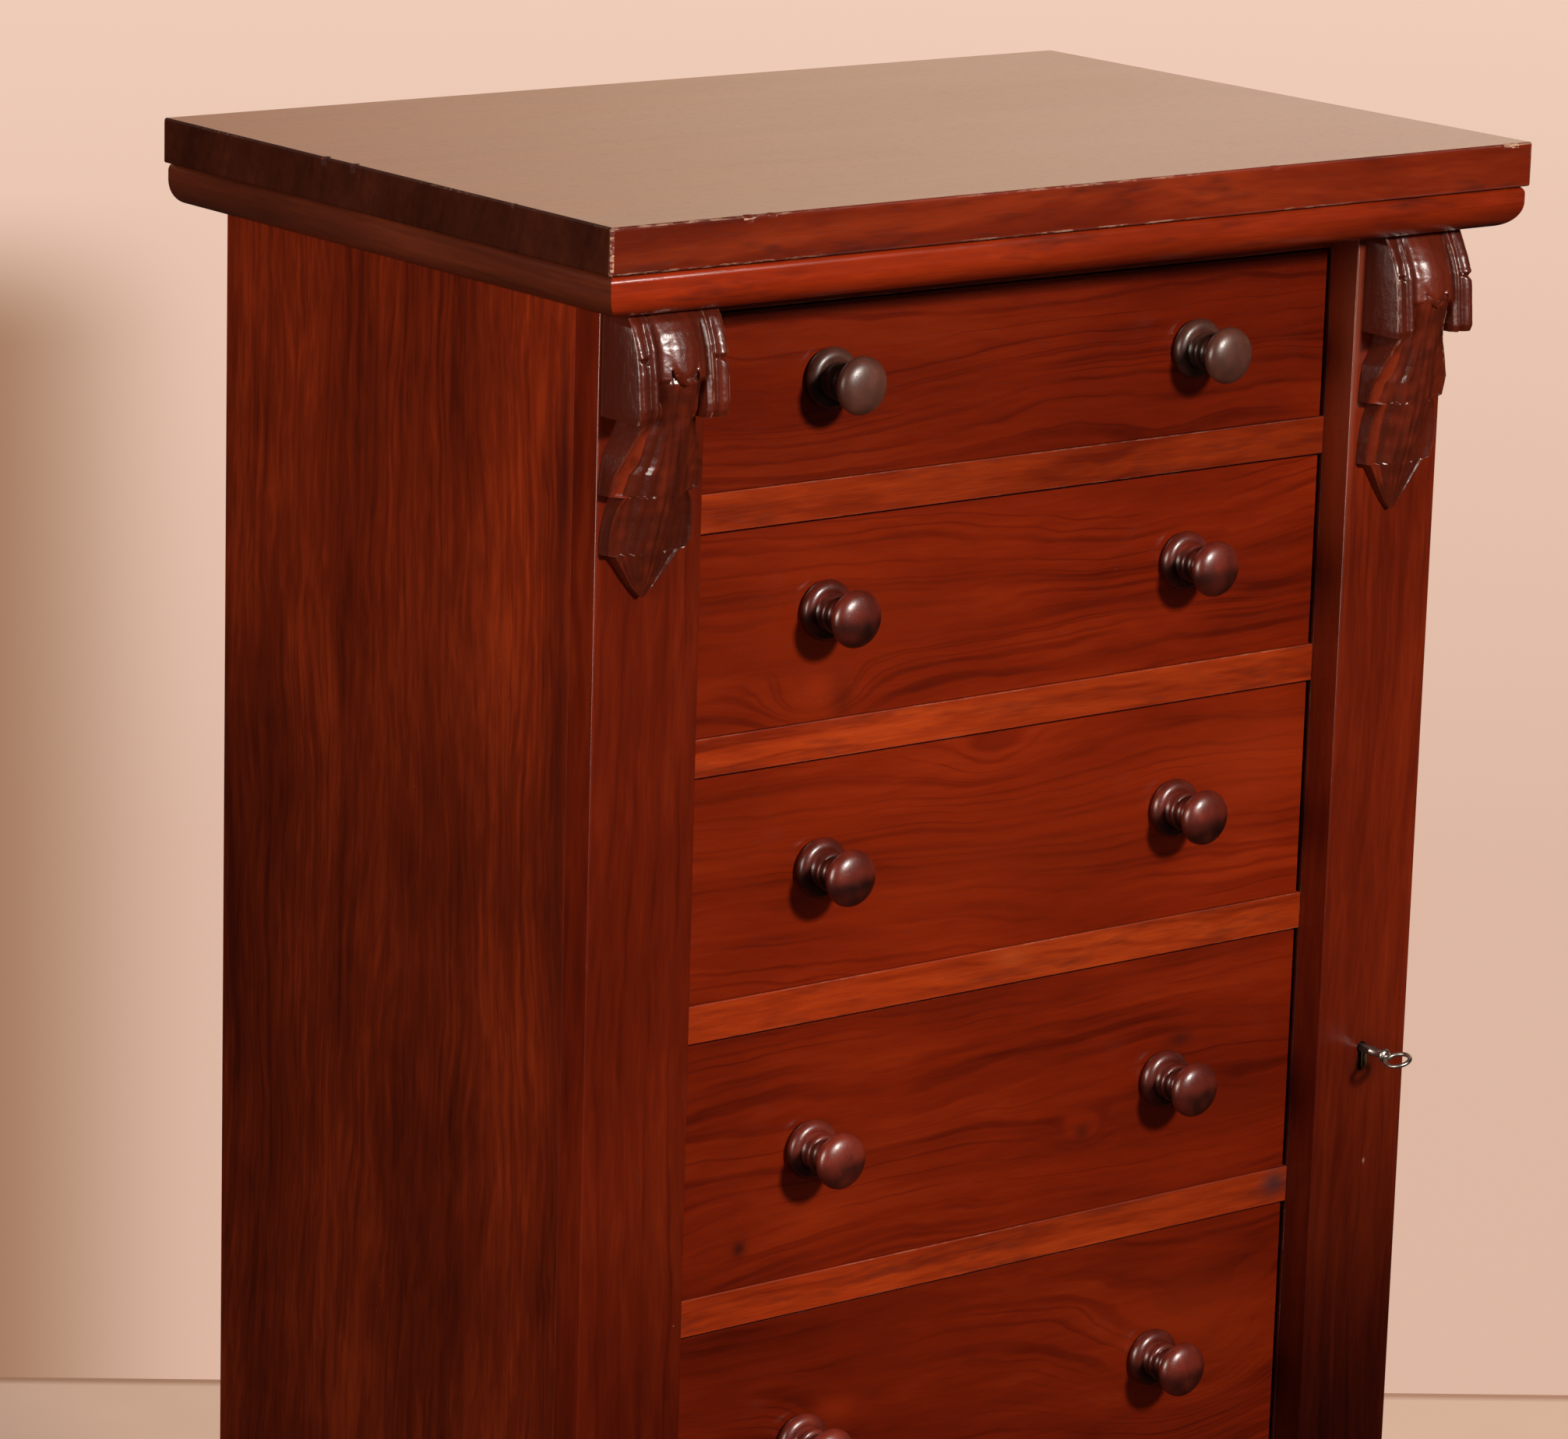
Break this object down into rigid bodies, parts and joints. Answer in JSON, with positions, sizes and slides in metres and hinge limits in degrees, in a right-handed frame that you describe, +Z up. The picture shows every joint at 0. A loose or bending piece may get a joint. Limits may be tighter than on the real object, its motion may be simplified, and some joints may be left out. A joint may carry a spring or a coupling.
{
  "type": "wellington chest",
  "caption": "Tall narrow wooden chest of graduated drawers, with carved corbels under a moulded top and a hinged pilaster with a lock at one side.",
  "frame": {"origin": "on the floor under the middle of the top", "axes": "+Z up, the drawers and the flap face -Y, +X to the viewer's right"},
  "size_m": [0.6, 0.398, 1.23],
  "materials": {
    "front_mahogany": "french polished, orange-red with dark grain",
    "side_mahogany": "french polished, dark red-brown",
    "carved_mahogany": "dark, glossy polish",
    "carcase_wood": "planed softwood, unpolished",
    "drawer_lining_wood": "planed hardwood, unpolished",
    "brass": "dull",
    "steel": "worn"
  },
  "bodies": {
    "chest": {"top_board": "front_mahogany", "top_moulding_front": "front_mahogany", "top_moulding_left": "side_mahogany", "top_moulding_right": "side_mahogany", "carcase_top": "carcase_wood", "side_left": "side_mahogany", "side_right": "side_mahogany", "carcase_bottom": "carcase_wood", "back_boards": "carcase_wood", "pilaster_left": "front_mahogany", "corbel_left": "carved_mahogany", "stile_left": "front_mahogany", "stile_right": "front_mahogany", "drawer_rails": "front_mahogany", "drawer_runners": "carcase_wood", "drawer_guides": "carcase_wood", "drawer_stops": "carcase_wood", "plinth_front": "front_mahogany", "plinth_left": "side_mahogany", "plinth_right": "side_mahogany", "plinth_back_and_blocks": "carcase_wood", "plinth_moulding": "front_mahogany", "hinge_leaves_carcase": "brass", "hinge_pins": "brass", "lock_staple": "brass"},
    "drawer_1": {"drawer_1_front": "front_mahogany", "drawer_1_linings": "drawer_lining_wood", "drawer_1_bottom": "drawer_lining_wood", "drawer_1_knobs": "carved_mahogany"},
    "drawer_2": {"drawer_2_front": "front_mahogany", "drawer_2_linings": "drawer_lining_wood", "drawer_2_bottom": "drawer_lining_wood", "drawer_2_knobs": "carved_mahogany"},
    "drawer_3": {"drawer_3_front": "front_mahogany", "drawer_3_linings": "drawer_lining_wood", "drawer_3_bottom": "drawer_lining_wood", "drawer_3_knobs": "carved_mahogany"},
    "drawer_4": {"drawer_4_front": "front_mahogany", "drawer_4_linings": "drawer_lining_wood", "drawer_4_bottom": "drawer_lining_wood", "drawer_4_knobs": "carved_mahogany"},
    "drawer_5": {"drawer_5_front": "front_mahogany", "drawer_5_linings": "drawer_lining_wood", "drawer_5_bottom": "drawer_lining_wood", "drawer_5_knobs": "carved_mahogany"},
    "drawer_6": {"drawer_6_front": "front_mahogany", "drawer_6_linings": "drawer_lining_wood", "drawer_6_bottom": "drawer_lining_wood", "drawer_6_knobs": "carved_mahogany"},
    "drawer_7": {"drawer_7_front": "front_mahogany", "drawer_7_linings": "drawer_lining_wood", "drawer_7_bottom": "drawer_lining_wood", "drawer_7_knobs": "carved_mahogany"},
    "flap": {"locking_flap": "front_mahogany", "corbel_right": "carved_mahogany", "hinge_leaves_flap": "brass", "lock_case": "brass", "lock_cap": "brass"},
    "bolt": {"lock_bolt": "brass"},
    "key_body": {"key": "steel"}
  },
  "joints": [
    {"name": "drawer_1_slide", "type": "slide", "parent": "chest", "child": "drawer_1", "axis": [0, -1, 0], "range_m": [0, 0.26]},
    {"name": "drawer_2_slide", "type": "slide", "parent": "chest", "child": "drawer_2", "axis": [0, -1, 0], "range_m": [0, 0.26]},
    {"name": "drawer_3_slide", "type": "slide", "parent": "chest", "child": "drawer_3", "axis": [0, -1, 0], "range_m": [0, 0.26]},
    {"name": "drawer_4_slide", "type": "slide", "parent": "chest", "child": "drawer_4", "axis": [0, -1, 0], "range_m": [0, 0.26]},
    {"name": "drawer_5_slide", "type": "slide", "parent": "chest", "child": "drawer_5", "axis": [0, -1, 0], "range_m": [0, 0.26]},
    {"name": "drawer_6_slide", "type": "slide", "parent": "chest", "child": "drawer_6", "axis": [0, -1, 0], "range_m": [0, 0.26]},
    {"name": "drawer_7_slide", "type": "slide", "parent": "chest", "child": "drawer_7", "axis": [0, -1, 0], "range_m": [0, 0.26]},
    {"name": "flap_hinge", "type": "hinge", "parent": "chest", "child": "flap", "pos_m": [0.2808, -0.141, 0.615], "axis": [0, 0, 1], "range_deg": [0, 180]},
    {"name": "key_turn", "type": "hinge", "parent": "flap", "child": "key_body", "pos_m": [0.246, -0.161, 0.73], "axis": [0, -1, 0], "range_deg": [-90, 270]},
    {"name": "lock_bolt_slide", "type": "slide", "parent": "flap", "child": "bolt", "axis": [-1, 0, 0], "range_m": [-0.0021, 0.0061]}
  ],
  "couplings": [
    {"joint": "lock_bolt_slide", "follows": "key_turn", "m_per_rad": 0.0012732}
  ]
}
